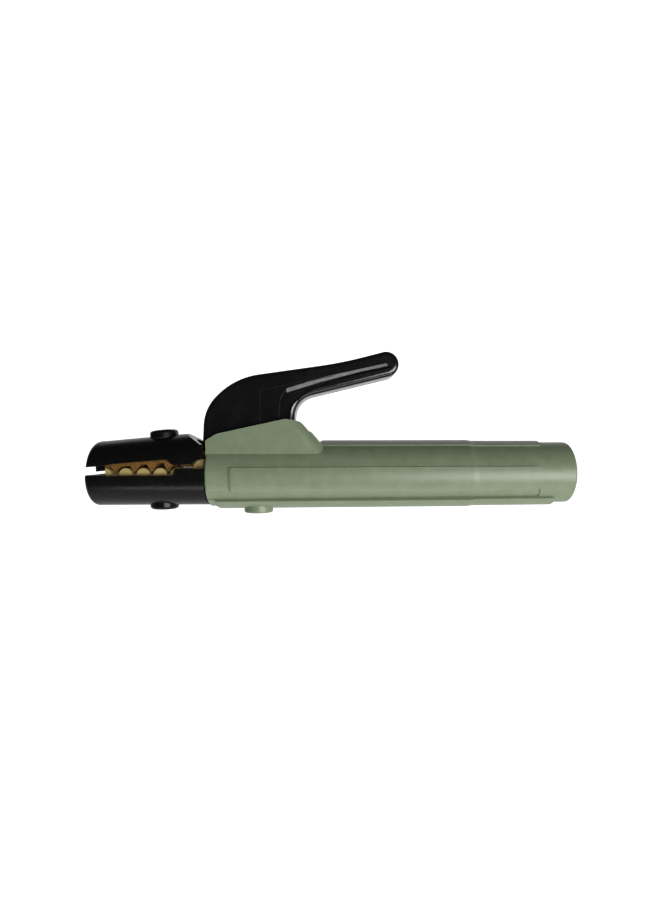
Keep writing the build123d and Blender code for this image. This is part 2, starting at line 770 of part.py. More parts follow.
# ---------------------------------------------------------------- lever cover
# Outline seen from the side, measured from the hinge: up the front, along the top to the
# rounded end of the arm, back along the underside and down the neck into the hood.
lever_outline = [
    (skirt_front, skirt_low),
    (skirt_front + 0.9, 24.4),
    (6.4, 39.5),
    (60.0, 46.75),
    (86.6, 53.5),
    (89.9, 41.0),
    (36.2, 28.3),
    (36.2, 14.0),
    (0.86 * cover_inner_r, 4.4),
    (0.0, 4.4),
    (0.0, skirt_low),
]
lever_radii = [0, 22.0, 36.0, 200.0, 6.4, 6.4, 11.0, 0, 0, 0, 0]
panel_outline = [
    (18.9, 32.6),
    (38.8, 36.9),
    (56.0, 40.1),
    (56.0, 36.5),
    (34.0, 30.0),
    (30.0, 14.0),
    (18.9, 12.0),
]
panel_radii = [0, 80.0, 0, 0, 8.0, 0, 0]
channel_outline = [
    (33.2, 12.8),
    (34.2, 25.0),
    (45.0, 33.3),
    (69.5, 40.4),
    (84.6, 43.4),
    (81.9, 45.9),
    (44.6, 37.9),
    (29.6, 33.4),
    (27.2, 12.2),
]
channel_top = [(31.6, 34.0), (44.6, 37.9), (84.0, 46.35)]   # where the upper wall slopes
channel_radii = [0, 11.0, 34.0, 0, 0, 0, 40.0, 9.0, 0]
spring_pocket_r = cup_r + 0.3


def panel_tool(side):
    """The shallow flat panel in one side of the lever."""
    with BuildPart(mode=Mode.PRIVATE) as tool:
        with BuildSketch(hinge_plane.offset(side * (cover_half - lever_panel_depth))):
            with BuildLine():
                FilletPolyline(*panel_outline, radius=panel_radii, close=True)
            make_face()
        extrude(amount=side * 3.0)
    return tool.part


def channel_tool(side):
    """The channel along the inner side of the lever; its upper wall slopes."""
    with BuildPart(mode=Mode.PRIVATE) as tool:
        with BuildSketch(hinge_plane.offset(side * (cover_half - channel_depth))):
            with BuildLine():
                FilletPolyline(*channel_outline, radius=channel_radii, close=True)
            make_face()
        extrude(amount=side * 3.0)
        for a, b in zip(channel_top, channel_top[1:]):
            start = hinge_plane.from_local_coords((*a, side * (cover_half - channel_depth)))
            end = hinge_plane.from_local_coords((*b, side * (cover_half - channel_depth)))
            run = end - start
            with BuildSketch(Plane(origin=start, x_dir=(0, -side, 0), z_dir=run)):
                with BuildLine():
                    Polyline(
                        (-0.1, -side * 1.0),
                        (channel_depth - 0.1, -side * 1.0),
                        (channel_depth - 0.1, 0.0),
                        (-0.1, side * channel_slope),
                        close=True,
                    )
                make_face()
            extrude(amount=run.length, mode=Mode.SUBTRACT)
    return tool.part


with BuildPart() as lever_cover:
    with BuildSketch(hinge_plane):
        with BuildLine():
            FilletPolyline(*lever_outline, radius=lever_radii, close=True)
        make_face()
    extrude(amount=cover_half, both=True)
    rims = lever_cover.edges().filter_by(lambda e: abs(abs(e.center().Y) - cover_half) < 0.01)
    outer = rims.filter_by(lambda e: e.center().Z > hinge_height + 10.0)
    fillet(outer, cover_round)
    for side in (1, -1):
        add(panel_tool(side), mode=Mode.SUBTRACT)
        add(channel_tool(side), mode=Mode.SUBTRACT)
    with BuildSketch(hinge_plane):
        Circle(cover_inner_r)
    extrude(amount=far, both=True, mode=Mode.SUBTRACT)
    with BuildSketch(hinge_plane):
        with BuildLine():
            FilletPolyline(*tang_outline, radius=tang_radii, close=True)
        make_face()
        offset(amount=tang_fit, kind=Kind.INTERSECTION)
    extrude(amount=tang_half + tang_fit, both=True, mode=Mode.SUBTRACT)
    with BuildSketch(hinge_plane):
        with BuildLine():
            Polyline(*neck_outline, close=True)
        make_face()
        offset(amount=neck_gap, kind=Kind.INTERSECTION)
        Circle(eye_r + neck_gap)
        with Locations((0, skirt_low - far / 2)):
            Rectangle(far, far)
    extrude(amount=eye_half + neck_gap, both=True, mode=Mode.SUBTRACT)
    with BuildSketch(Plane.XY):
        with Locations((hinge_x + spring_x, 0)):
            Circle(spring_pocket_r)
    extrude(amount=hinge_height + arm_seat_z, mode=Mode.SUBTRACT)
    with BuildSketch(hinge_plane):
        with Locations(*lever_pin_places):
            Circle(lever_pin_r)
    extrude(amount=far, both=True, mode=Mode.SUBTRACT)
save(lever_cover.part, "lever_cover")

with BuildPart() as lever_pins:
    with BuildSketch(hinge_plane):
        with Locations(*lever_pin_places):
            Circle(lever_pin_r)
    extrude(amount=cover_half - channel_depth - 0.1, both=True)
save(lever_pins.part, "lever_pins")

# ---------------------------------------------------------------- spring and its cups
cup_boss_r = spring_r - spring_wire - 0.4
cup_boss = 2.5
low_z = spring_seat_z + cup_t
high_z = hinge_height + arm_seat_z - cup_t
with BuildPart() as lower_spring_cup:
    with BuildSketch(Plane.XY.offset(spring_seat_z)):
        with Locations((hinge_x + spring_x, 0)):
            Circle(cup_r)
    extrude(amount=cup_t)
    with BuildSketch(Plane.XY.offset(low_z)):
        with Locations((hinge_x + spring_x, 0)):
            Circle(cup_boss_r)
    extrude(amount=cup_boss)
save(lower_spring_cup.part, "lower_spring_cup")

with BuildPart() as upper_spring_cup:
    with BuildSketch(Plane.XY.offset(high_z)):
        with Locations((hinge_x + spring_x, 0)):
            Circle(cup_r)
    extrude(amount=cup_t)
    with BuildSketch(Plane.XY.offset(high_z)):
        with Locations((hinge_x + spring_x, 0)):
            Circle(cup_boss_r)
    extrude(amount=-cup_boss)
save(upper_spring_cup.part, "upper_spring_cup")

helix_r = spring_r - spring_wire / 2
helix_rise = high_z - low_z - spring_wire
with BuildPart() as return_spring:
    with BuildLine():
        Helix(
            pitch=helix_rise / coils,
            height=helix_rise,
            radius=helix_r,
            center=(hinge_x + spring_x, 0, low_z + spring_wire / 2),
        )
    with BuildSketch(Plane(
        origin=(hinge_x + spring_x + helix_r, 0, low_z + spring_wire / 2),
        x_dir=(1, 0, 0),
        z_dir=(0, 1, 0),
    )):
        Circle(spring_wire / 2)
    sweep(is_frenet=True)
save(return_spring.part, "return_spring")

# ---------------------------------------------------------------- cable clamp
with BuildPart() as cable_ferrule:
    with BuildSketch(cross_plane(0.0)):
        Circle(socket_r - ferrule_fit)
        Circle(socket_r - ferrule_fit - ferrule_t, mode=Mode.SUBTRACT)
        with Locations((0, -socket_r)):
            Rectangle(ferrule_slit, 2 * ferrule_t + 1.0, mode=Mode.SUBTRACT)
    extrude(amount=-ferrule_length)
save(cable_ferrule.part, "cable_ferrule")

set_screw_length = shank_r - socket_r - 0.8
set_screw_key = 4.0         # across the flats of the hexagon socket
with BuildPart() as cable_set_screws:
    for back in set_screw_from_mouth:
        with BuildSketch(Plane.XY.offset(socket_r)):
            with Locations((-back, 0)):
                Circle(set_screw_r)
        extrude(amount=set_screw_length)
        with BuildSketch(Plane.XY.offset(socket_r + set_screw_length)):
            with Locations((-back, 0)):
                RegularPolygon(set_screw_key / 2, 6, major_radius=False)
        extrude(amount=-0.6 * set_screw_length, mode=Mode.SUBTRACT)
save(cable_set_screws.part, "cable_set_screws")

# ---------------------------------------------------------------- handle screw and cap
with BuildPart() as handle_screw_cap:
    with BuildSketch(Plane.XY.offset(-cap_seat)):
        with Locations((hinge_x + handle_screw_x, 0)):
            Circle(cap_r)
    extrude(amount=cap_seat - cap_drop)
    bottom = handle_screw_cap.edges().filter_by(GeomType.CIRCLE).sort_by(Axis.Z)[0]
    fillet(bottom, 1.0)
    with BuildSketch(Plane.XY.offset(-cap_seat)):
        with Locations((hinge_x + handle_screw_x, 0)):
            Circle(handle_screw_r + 0.01)
    extrude(amount=-3.6, mode=Mode.SUBTRACT)
save(handle_screw_cap.part, "handle_screw_cap")

with BuildPart() as handle_screw:
    with BuildSketch(Plane.XY.offset(-cap_seat - 3.5)):
        with Locations((hinge_x + handle_screw_x, 0)):
            Circle(handle_screw_r)
    extrude(amount=cap_seat + 3.5 - 4.0)
    chamfer(handle_screw.edges().filter_by(GeomType.CIRCLE).sort_by(Axis.Z)[-1], 0.6)
save(handle_screw.part, "handle_screw")
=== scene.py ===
# %% [markdown]
# # A tong-type electrode holder
#
# This lesson dresses a finished mechanical model of a welder's electrode holder: a grey-green
# moulded handle, a black lever that is squeezed to open the jaws, and toothed brass jaws inside
# two black insulating shells. The mechanical model is loaded as a fixed frame and keeps its
# sizes. What is added here is how things look: the moulded plastics, the cast brass, the plated
# steel inside, the light and the camera.

# %% Load the mechanical model
import math

import bpy
from mathutils import Matrix, Vector


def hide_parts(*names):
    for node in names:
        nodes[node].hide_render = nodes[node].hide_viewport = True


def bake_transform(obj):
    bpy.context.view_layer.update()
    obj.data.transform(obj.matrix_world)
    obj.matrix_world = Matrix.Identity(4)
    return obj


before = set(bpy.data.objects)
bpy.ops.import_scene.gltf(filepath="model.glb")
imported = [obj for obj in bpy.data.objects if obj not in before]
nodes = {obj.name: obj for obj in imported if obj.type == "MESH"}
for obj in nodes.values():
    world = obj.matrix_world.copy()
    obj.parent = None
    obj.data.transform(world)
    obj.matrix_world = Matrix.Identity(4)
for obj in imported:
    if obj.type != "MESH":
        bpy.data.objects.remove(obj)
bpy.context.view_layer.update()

print("pieces in the frame:", len(nodes))

# %% [markdown]
# ## A small bench of node tools
#
# Every finish below is a node tree. Typing each link by hand hides what the tree says, so two
# helpers do the wiring: one starts a material with its shader in place, the other adds a node
# and fills its inputs, where an input may be a number, a colour or another node's output.
# Object coordinates are used throughout, because they are in metres and stay with the piece.


# %% Helpers for node trees
def add_node(tree, kind, inputs=None, **settings):
    """Adds a node, sets its options, and fills or links its inputs."""
    node = tree.nodes.new(kind)
    for option, value in settings.items():
        setattr(node, option, value)
    for socket, value in (inputs or {}).items():
        if isinstance(value, bpy.types.NodeSocket):
            tree.links.new(value, node.inputs[socket])
        else:
            node.inputs[socket].default_value = value
    return node


def start_material(name, **shader_values):
    """A material with one Principled BSDF whose plain values are set on its own sockets."""
    material = bpy.data.materials.new(name)
    material.use_nodes = True
    tree = material.node_tree
    shader = tree.nodes["Principled BSDF"]
    for socket, value in shader_values.items():
        shader.inputs[socket.replace("_", " ")].default_value = value
    return material, tree, shader


def blend_colours(tree, amount, low, high, mode="MIX"):
    """Mixes two colours and returns the result's socket."""
    mixer = tree.nodes.new("ShaderNodeMix")
    mixer.data_type = "RGBA"
    mixer.blend_type = mode
    for index, value in ((0, amount), (6, low), (7, high)):
        if isinstance(value, bpy.types.NodeSocket):
            tree.links.new(value, mixer.inputs[index])
        else:
            mixer.inputs[index].default_value = value
    return mixer.outputs[2]


def remap(tree, value, from_low, from_high, to_low=0.0, to_high=1.0):
    """Stretches a value from one range to another, held at the ends."""
    node = add_node(tree, "ShaderNodeMapRange", {
        "Value": value, "From Min": from_low, "From Max": from_high,
        "To Min": to_low, "To Max": to_high})
    return node.outputs["Result"]


def combine(tree, operation, first, second):
    """Combines two values in one step of arithmetic."""
    return add_node(tree, "ShaderNodeMath", {0: first, 1: second}, operation=operation).outputs[0]


def srgb(red, green, blue):
    """A colour given as screen values from 0 to 255, turned into the linear values of a shader."""
    def linear(channel):
        share = channel / 255.0
        return share / 12.92 if share <= 0.04045 else ((share + 0.055) / 1.055) ** 2.4
    return (linear(red), linear(green), linear(blue), 1.0)


print("mid handle green in linear values:", [round(c, 3) for c in srgb(123, 136, 109)])

# %% [markdown]
# ## Effects that several finishes share
#
# Moulded pieces have three things in common. Their skin is never quite even: it has a fine
# grain from the mould and a slow wave from shrinking. Handling leaves faint scratches and rubs
# the edges lighter. Dust and soot settle where surfaces meet, and there the shared mask also
# paints shade into the colour, darkening hollows where light can't reach. Each effect is built
# once, as a node group with named sockets, and every finish places it with its own values. A
# group gives out only masks and heights, so the shader itself stays with its material.


# %% Shared effect: moulded skin
def new_group(name, inputs, outputs):
    """An empty shader group with the named value inputs and outputs."""
    group = bpy.data.node_groups.new(name, "ShaderNodeTree")
    for label, value in inputs.items():
        socket = group.interface.new_socket(label, in_out="INPUT", socket_type="NodeSocketFloat")
        socket.default_value = value
    for label in outputs:
        group.interface.new_socket(label, in_out="OUTPUT", socket_type="NodeSocketFloat")
    source = group.nodes.new("NodeGroupInput")
    sink = group.nodes.new("NodeGroupOutput")
    return group, source, sink


def place_group(tree, group, **values):
    """Puts a shared effect into a material's tree with its own values."""
    node = tree.nodes.new("ShaderNodeGroup")
    node.node_tree = group
    for label, value in values.items():
        node.inputs[label.replace("_", " ")].default_value = value
    return node


moulded_skin, skin_in, skin_out = new_group(
    "moulded_skin",
    {"Grain Size": 1400.0, "Wave Size": 55.0, "Grain Share": 0.35},
    ("Mottle", "Height"))
place = add_node(moulded_skin, "ShaderNodeTexCoord").outputs["Object"]
grain = add_node(moulded_skin, "ShaderNodeTexNoise", {
    "Vector": place, "Scale": skin_in.outputs["Grain Size"], "Detail": 3.0, "Roughness": 0.6})
wave = add_node(moulded_skin, "ShaderNodeTexNoise", {
    "Vector": place, "Scale": skin_in.outputs["Wave Size"], "Detail": 2.0, "Roughness": 0.5})
mottle = add_node(moulded_skin, "ShaderNodeTexNoise", {
    "Vector": place, "Scale": 160.0, "Detail": 6.0, "Roughness": 0.62})
fine = combine(moulded_skin, "MULTIPLY", grain.outputs["Fac"], skin_in.outputs["Grain Share"])
height = combine(moulded_skin, "ADD", wave.outputs["Fac"], fine)
moulded_skin.links.new(mottle.outputs["Fac"], skin_out.inputs["Mottle"])
moulded_skin.links.new(height, skin_out.inputs["Height"])
print("shared effect:", moulded_skin.name)


# %% Shared effect: rubbed edges
corner_samples = 6
rubbed_edges, rub_in, rub_out = new_group(
    "rubbed_edges", {"Edge Width": 0.0006, "Breakup Size": 420.0}, ("Edge",))
soft_corner = add_node(rubbed_edges, "ShaderNodeBevel", {
    "Radius": rub_in.outputs["Edge Width"]}, samples=corner_samples)
true_face = add_node(rubbed_edges, "ShaderNodeNewGeometry")
facing = add_node(rubbed_edges, "ShaderNodeVectorMath", {
    0: soft_corner.outputs["Normal"], 1: true_face.outputs["Normal"]}, operation="DOT_PRODUCT")
corner = remap(rubbed_edges, facing.outputs["Value"], 0.995, 0.86)
place = add_node(rubbed_edges, "ShaderNodeTexCoord").outputs["Object"]
breakup = add_node(rubbed_edges, "ShaderNodeTexNoise", {
    "Vector": place, "Scale": rub_in.outputs["Breakup Size"], "Detail": 4.0, "Roughness": 0.65})
patchy = remap(rubbed_edges, breakup.outputs["Fac"], 0.36, 0.62)
rubbed_edges.links.new(combine(rubbed_edges, "MULTIPLY", corner, patchy), rub_out.inputs["Edge"])
print("shared effect:", rubbed_edges.name)


# %% Shared effect: fine scratches
fine_scratches, scratch_in, scratch_out = new_group(
    "fine_scratches", {"Density": 90.0, "Stretch": 14.0}, ("Scratch",))
place = add_node(fine_scratches, "ShaderNodeTexCoord").outputs["Object"]
stretch = add_node(fine_scratches, "ShaderNodeCombineXYZ", {
    "X": 1.0, "Y": scratch_in.outputs["Stretch"], "Z": scratch_in.outputs["Stretch"]}).outputs["Vector"]
lines = []
for turn in (0.35, -0.5, 1.2):
    turned = add_node(fine_scratches, "ShaderNodeMapping", {
        "Vector": place, "Rotation": (turn, turn * 0.7, turn * 1.3)})
    squeezed = add_node(fine_scratches, "ShaderNodeVectorMath", {
        0: turned.outputs["Vector"], 1: stretch}, operation="MULTIPLY")
    streak = add_node(fine_scratches, "ShaderNodeTexNoise", {
        "Vector": squeezed.outputs["Vector"], "Scale": scratch_in.outputs["Density"],
        "Detail": 2.0, "Roughness": 0.4})
    from_middle = combine(fine_scratches, "SUBTRACT", streak.outputs["Fac"], 0.5)
    thin = combine(fine_scratches, "ABSOLUTE", from_middle, 0.0)
    lines.append(remap(fine_scratches, thin, 0.006, 0.0))
both = combine(fine_scratches, "MAXIMUM", lines[0], lines[1])
every = combine(fine_scratches, "MAXIMUM", both, lines[2])
gate = add_node(fine_scratches, "ShaderNodeTexNoise", {"Vector": place, "Scale": 70.0, "Detail": 2.0})
some = remap(fine_scratches, gate.outputs["Fac"], 0.5, 0.66)
fine_scratches.links.new(combine(fine_scratches, "MULTIPLY", every, some), scratch_out.inputs["Scratch"])
print("shared effect:", fine_scratches.name)


# %% Shared effect: settled dirt and painted shade
settled_dirt_and_shade, dirt_and_shade_in, dirt_and_shade_out = new_group("settled_dirt_and_shade", {"Reach": 0.004}, ("Dirt And Shade",))
# Painted shade: the occlusion mask darkens the colour in hollows and where parts meet; the patchy noise
# breaks it up as settled dirt.
hollow = add_node(settled_dirt_and_shade, "ShaderNodeAmbientOcclusion", {
    "Distance": dirt_and_shade_in.outputs["Reach"]}, samples=corner_samples)
place = add_node(settled_dirt_and_shade, "ShaderNodeTexCoord").outputs["Object"]
patches = add_node(settled_dirt_and_shade, "ShaderNodeTexNoise", {"Vector": place, "Scale": 240.0, "Detail": 5.0})
deep = remap(settled_dirt_and_shade, hollow.outputs["AO"], 0.85, 0.35)
uneven = remap(settled_dirt_and_shade, patches.outputs["Fac"], 0.3, 0.62, 0.35, 1.0)
settled_dirt_and_shade.links.new(combine(settled_dirt_and_shade, "MULTIPLY", deep, uneven), dirt_and_shade_out.inputs["Dirt And Shade"])
print("shared effect:", settled_dirt_and_shade.name)

# %% [markdown]
# ## Handle: grey-green thermoset
#
# The sleeve is moulded from a fibre-filled resin, which keeps its colour right through and
# doesn't melt near an arc. It looks like dull paint: a middling roughness, a soft broad
# highlight, faint mottling from the filler, and a few dark specks. The mottling could be
# painted, but noise in object space gives every side the same grain with no seam. Roughness
# varies with the same noise, so the highlight breaks up slightly as it does on the real skin.

# %% Handle finish
edge_wear = 0.45
shade_and_grime = 0.4
scuffing = 0.16
handle_green, tree, shader = start_material("handle_green", IOR=1.5, Specular_IOR_Level=0.5)
skin = place_group(tree, moulded_skin, Grain_Size=1500.0, Wave_Size=60.0, Grain_Share=0.3)
edges = place_group(tree, rubbed_edges, Edge_Width=0.0007, Breakup_Size=380.0)
dirt_and_shade = place_group(tree, settled_dirt_and_shade, Reach=0.0018)
scratches = place_group(tree, fine_scratches, Density=80.0)
base = blend_colours(tree, remap(tree, skin.outputs["Mottle"], 0.35, 0.65),
                     srgb(119, 132, 105), srgb(127, 139, 113))
lighter = blend_colours(tree, combine(tree, "MULTIPLY", edges.outputs["Edge"], edge_wear),
                        base, srgb(158, 168, 146))
# Painted shade: the occlusion mask darkens the green in hollows and at the panel steps, broken up as
# grime.
shaded_and_grimy = blend_colours(tree, combine(tree, "MULTIPLY", dirt_and_shade.outputs["Dirt And Shade"], shade_and_grime),
                      lighter, srgb(76, 84, 62))
place = add_node(tree, "ShaderNodeTexCoord").outputs["Object"]
spots = add_node(tree, "ShaderNodeTexVoronoi", {"Vector": place, "Scale": 150.0, "Randomness": 1.0})
speck = remap(tree, spots.outputs["Distance"], 0.055, 0.03)
rare = remap(tree, add_node(tree, "ShaderNodeSeparateColor", {
    "Color": spots.outputs["Color"]}).outputs["Red"], 0.9, 0.92)
speckled = blend_colours(tree, combine(tree, "MULTIPLY", speck, rare), shaded_and_grimy, srgb(74, 80, 62))
scuffed = blend_colours(tree, combine(tree, "MULTIPLY", scratches.outputs["Scratch"], scuffing),
                        speckled, srgb(160, 170, 150))
tree.links.new(scuffed, shader.inputs["Base Color"])
sheen_break = remap(tree, skin.outputs["Mottle"], 0.3, 0.7, 0.33, 0.42)
tree.links.new(sheen_break, shader.inputs["Roughness"])
bump = add_node(tree, "ShaderNodeBump", {
    "Strength": 0.12, "Distance": 0.0004, "Height": skin.outputs["Height"]})
tree.links.new(bump.outputs["Normal"], shader.inputs["Normal"])
print("finish:", handle_green.name, len(tree.nodes), "nodes")

# %% [markdown]
# ## Black mouldings
#
# The jaw shells and the lever are black thermoset. The lever is handled all day, so it is the
# glossier of the two, with fine scratches that only show inside its highlight. The shells sit
# by the arc and go dull and faintly grey with soot. One function makes both, because they
# differ only in their shade and in how shiny, how scratched and how sooty they are.


# %% Black finishes
def black_moulding(name, tone, shine, dull_low, dull_high, scratch_share, soot):
    """A black moulded plastic, from polished to sooty."""
    material, tree, shader = start_material(name, IOR=1.5, Specular_IOR_Level=shine)
    skin = place_group(tree, moulded_skin, Grain_Size=1800.0, Wave_Size=70.0, Grain_Share=0.25)
    edges = place_group(tree, rubbed_edges, Edge_Width=0.0005, Breakup_Size=500.0)
    scratches = place_group(tree, fine_scratches, Density=110.0)
    grey = tuple(channel * 1.6 for channel in tone[:3]) + (1.0,)
    base = blend_colours(tree, remap(tree, skin.outputs["Mottle"], 0.35, 0.7, 0.0, soot), tone, grey)
    worn = blend_colours(tree, combine(tree, "MULTIPLY", edges.outputs["Edge"], 0.5),
                         base, srgb(66, 66, 64))
    scuffed = blend_colours(tree, combine(tree, "MULTIPLY", scratches.outputs["Scratch"], scratch_share),
                            worn, srgb(92, 92, 90))
    tree.links.new(scuffed, shader.inputs["Base Color"])
    dull = remap(tree, skin.outputs["Mottle"], 0.3, 0.7, dull_low, dull_high)
    rough = combine(tree, "ADD", dull, combine(tree, "MULTIPLY", scratches.outputs["Scratch"], 0.2))
    tree.links.new(rough, shader.inputs["Roughness"])
    bump = add_node(tree, "ShaderNodeBump", {
        "Strength": 0.1, "Distance": 0.0003, "Height": skin.outputs["Height"]})
    tree.links.new(bump.outputs["Normal"], shader.inputs["Normal"])
    print("finish:", name, len(tree.nodes), "nodes")
    return material


shell_black = black_moulding("shell_black", srgb(13, 13, 12), 0.22, 0.2, 0.3, 0.06, 0.5)
lever_black = black_moulding("lever_black", srgb(13, 13, 14), 0.65, 0.14, 0.22, 0.07, 0.3)

# %% [markdown]
# ## Cast brass
#
# The jaws are sand-cast brass, machined only where they grip. The machined teeth are bright
# yellow; the cast skin is rough and darkens to a reddish brown where heat and spatter reach
# it. The two jaws could be one material, but the upper one is far browner, partly from tarnish
# and partly from painted shade for the shadow inside its shell, so a function takes the share
# of tarnish and shade. Hollows go darker than crowns through the dirt and shade mask, which
# paints shade into them.
#
# A fully metallic skin mirrors the dim air around the holder and comes out a quarter darker, so
# the metallic value is held at half or less. A brighter setting would call for the full value.


# %% Brass finishes
metallic_bright = 0.5
metallic_tarnished = 0.3


def cast_brass(name, bright, tarnish_and_shade, tarnish_and_shade_low, tarnish_and_shade_high, dull):
    """Brass that runs from bright metal to brown tarnish, with painted shade in the brown."""
    material, tree, shader = start_material(name)
    place = add_node(tree, "ShaderNodeTexCoord").outputs["Object"]
    clouds = add_node(tree, "ShaderNodeTexNoise", {
        "Vector": place, "Scale": 260.0, "Detail": 7.0, "Roughness": 0.7, "Distortion": 0.8})
    pits = add_node(tree, "ShaderNodeTexNoise", {
        "Vector": place, "Scale": 900.0, "Detail": 4.0, "Roughness": 0.7})
    dirt_and_shade = place_group(tree, settled_dirt_and_shade, Reach=0.003)
    edges = place_group(tree, rubbed_edges, Edge_Width=0.0005, Breakup_Size=600.0)
    cover = remap(tree, clouds.outputs["Fac"], 0.35, 0.68, tarnish_and_shade_low, tarnish_and_shade_high)
    # Painted shade: the occlusion mask pushes the hollows towards the tarnish colour, along with real
    # dirt.
    tarnish_and_shade_mask = combine(tree, "MAXIMUM", cover, combine(tree, "MULTIPLY", dirt_and_shade.outputs["Dirt And Shade"], 0.8))
    held = combine(tree, "SUBTRACT", tarnish_and_shade_mask, combine(tree, "MULTIPLY", edges.outputs["Edge"], 0.5))
    age_and_shade = remap(tree, held, 0.0, 1.0)
    colour = blend_colours(tree, age_and_shade, bright, tarnish_and_shade)
    spotted = blend_colours(tree, remap(tree, pits.outputs["Fac"], 0.66, 0.74, 0.0, 0.6),
                            colour, srgb(60, 36, 18))
    tree.links.new(spotted, shader.inputs["Base Color"])
    tree.links.new(remap(tree, age_and_shade, 0.0, 1.0, dull, dull + 0.28), shader.inputs["Roughness"])
    metal = remap(tree, age_and_shade, 0.0, 1.0, metallic_bright, metallic_tarnished)
    tree.links.new(metal, shader.inputs["Metallic"])
    rough_cast = combine(tree, "ADD", pits.outputs["Fac"], clouds.outputs["Fac"])
    bump = add_node(tree, "ShaderNodeBump", {
        "Strength": 0.35, "Distance": 0.0004, "Height": rough_cast})
    tree.links.new(bump.outputs["Normal"], shader.inputs["Normal"])
    print("finish:", name, len(tree.nodes), "nodes")
    return material


# The upper jaw's copy is darker partly as painted shade, standing for the shadow inside the upper shell,
# and partly as tarnish.
jaw_bright = cast_brass("jaw_bright", srgb(246, 228, 150), srgb(190, 146, 76), 0.0, 0.45, 0.34)
jaw_tarnished_and_shaded = cast_brass("jaw_tarnished_and_shaded", srgb(190, 142, 66), srgb(84, 48, 22), 0.3, 1.0, 0.42)

# %% [markdown]
# ## Steel and copper inside
#
# The hinge, the spring, the screws and the cable clamp are out of sight in most views, yet
# they show at the handle's open end and when the lever is pressed. Zinc plate is a slightly
# blue grey with a cloudy bloom; spring steel is dark and oily; the ferrule is rolled copper.
# One metal recipe with three sets of colours is enough for pieces this small.


# %% Small metal finishes
def small_metal(name, clean, bloom, dull):
    """A plated or rolled metal with a cloudy bloom and painted shade in its hollows."""
    material, tree, shader = start_material(name, Metallic=1.0)
    place = add_node(tree, "ShaderNodeTexCoord").outputs["Object"]
    clouds = add_node(tree, "ShaderNodeTexNoise", {
        "Vector": place, "Scale": 320.0, "Detail": 5.0, "Roughness": 0.6})
    dirt_and_shade = place_group(tree, settled_dirt_and_shade, Reach=0.002)
    mask = remap(tree, clouds.outputs["Fac"], 0.35, 0.7)
    # Painted shade: the occlusion mask darkens the colour towards the bloom in hollows.
    age_and_shade = combine(tree, "MAXIMUM", mask, dirt_and_shade.outputs["Dirt And Shade"])
    tree.links.new(blend_colours(tree, age_and_shade, clean, bloom), shader.inputs["Base Color"])
    tree.links.new(remap(tree, mask, 0.0, 1.0, dull, dull + 0.2), shader.inputs["Roughness"])
    bump = add_node(tree, "ShaderNodeBump", {
        "Strength": 0.15, "Distance": 0.0002, "Height": clouds.outputs["Fac"]})
    tree.links.new(bump.outputs["Normal"], shader.inputs["Normal"])
    print("finish:", name, len(tree.nodes), "nodes")
    return material


zinc_plate = small_metal("zinc_plate", srgb(196, 198, 200), srgb(140, 142, 146), 0.25)
oiled_spring = small_metal("oiled_spring", srgb(110, 108, 106), srgb(58, 52, 48), 0.3)
rolled_copper = small_metal("rolled_copper", srgb(214, 138, 104), srgb(128, 72, 48), 0.28)

# %% [markdown]
# ## Return spring
#
# The spring that shuts the jaws stands upright between its two cups. The mechanical model has
# it as a plain helix. Here it gets what a wound spring has: wire that settles into a closed
# coil at each end and is cut off flat. It is wound as one fixed mesh; a rigid spring would cut
# through the upper cup.

# %% Wind the spring
wire_radius = 0.0009
coil_radius = 0.0045
spring_foot = Vector((-0.049, 0.0, 0.0005))
spring_height = 0.0194
closed_turns = 0.75
closed_squeeze = 0.9
open_turns = 4.0
steps_per_turn = 40
sides = 12
closed_rise = closed_turns * 2 * wire_radius * closed_squeeze
open_rise = spring_height - 2 * wire_radius - 2 * closed_rise
turns = 2 * closed_turns + open_turns
rings = int(turns * steps_per_turn)
wire_points = []
for ring in range(rings + 1):
    turned = turns * ring / rings
    low_share = min(turned, closed_turns) / closed_turns
    open_share = min(max(turned - closed_turns, 0.0), open_turns) / open_turns
    high_share = max(turned - closed_turns - open_turns, 0.0) / closed_turns
    height = wire_radius + closed_rise * (low_share + high_share) + open_rise * open_share
    angle = 2 * math.pi * turned
    outward = Vector((math.cos(angle), math.sin(angle), 0.0))
    middle_of_wire = spring_foot + outward * coil_radius + Vector((0.0, 0.0, height))
    for side in range(sides):
        around = 2 * math.pi * side / sides
        lift = Vector((0.0, 0.0, math.sin(around)))
        wire_points.append(middle_of_wire + wire_radius * (outward * math.cos(around) + lift))
skins = [(r * sides + k, r * sides + (k + 1) % sides,
          (r + 1) * sides + (k + 1) % sides, (r + 1) * sides + k)
         for r in range(rings) for k in range(sides)]
skins.append(tuple(range(sides))[::-1])
skins.append(tuple(rings * sides + k for k in range(sides)))
spring_mesh = bpy.data.meshes.new("return_coil")
spring_mesh.from_pydata(wire_points, [], skins)
for face in spring_mesh.polygons:
    face.use_smooth = len(face.vertices) == 4
return_coil = bpy.data.objects.new("return_coil", spring_mesh)
bpy.context.scene.collection.objects.link(return_coil)
spring_mesh.materials.append(oiled_spring)
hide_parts("return_spring")
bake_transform(return_coil)
print("spring faces:", len(spring_mesh.polygons), "height:", round(return_coil.dimensions.z, 4))

# %% [markdown]
# ## Give every piece its finish
#
# The frame's pieces arrive with plain colours. Apart from the spring, which was wound afresh
# above, their shapes stay as they are, and only the material in each slot is swapped. A table
# from finish to pieces is easier to check than a line per piece: the cell counts the pieces
# and names any that was left out.

